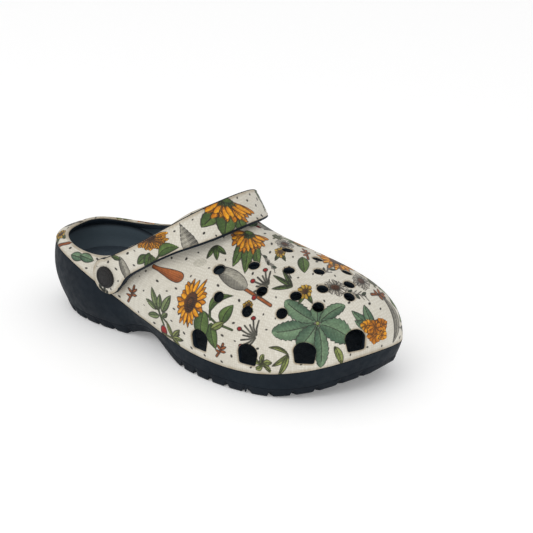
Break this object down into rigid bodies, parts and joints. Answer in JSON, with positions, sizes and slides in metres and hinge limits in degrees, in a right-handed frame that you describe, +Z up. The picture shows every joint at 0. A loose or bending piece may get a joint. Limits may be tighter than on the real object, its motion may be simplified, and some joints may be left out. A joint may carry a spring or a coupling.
{
  "type": "garden clog",
  "caption": "Slip-on rubber garden clog for the right foot: treaded sole, vented printed upper and a heel strap that pivots on side rivets.",
  "frame": {"origin": "middle of the shoe's outer box at the bottom, on the ground under the tread", "axes": "+X to the toe, +Y to the inner (medial) side of the right foot, +Z up"},
  "size_m": [0.2814, 0.1101, 0.1085],
  "materials": {
    "tread_rubber": "matt",
    "navy_foam": "satin moulded foam",
    "footbed_foam": "matt textured foam",
    "printed_skin": "fine-grained printed skin, cream with botanical motifs",
    "rivet_plastic": "matt",
    "washer_plastic": "satin"
  },
  "bodies": {
    "shoe": {"outsole": "tread_rubber", "midsole": "navy_foam", "footbed": "footbed_foam", "upper_shell": "navy_foam", "upper_print_cover": "printed_skin", "rivet_cap_lateral": "rivet_plastic", "rivet_socket_lateral": "rivet_plastic", "strap_washer_lateral": "washer_plastic", "rivet_cap_medial": "rivet_plastic", "rivet_socket_medial": "rivet_plastic", "strap_washer_medial": "washer_plastic"},
    "strap": {"strap_core": "navy_foam", "strap_print_cover": "printed_skin"}
  },
  "joints": [
    {"name": "strap_hinge", "type": "hinge", "parent": "shoe", "child": "strap", "pos_m": [-0.05758, 0.002, 0.045], "axis": [0, -1, 0], "range_deg": [0, 145]}
  ]
}
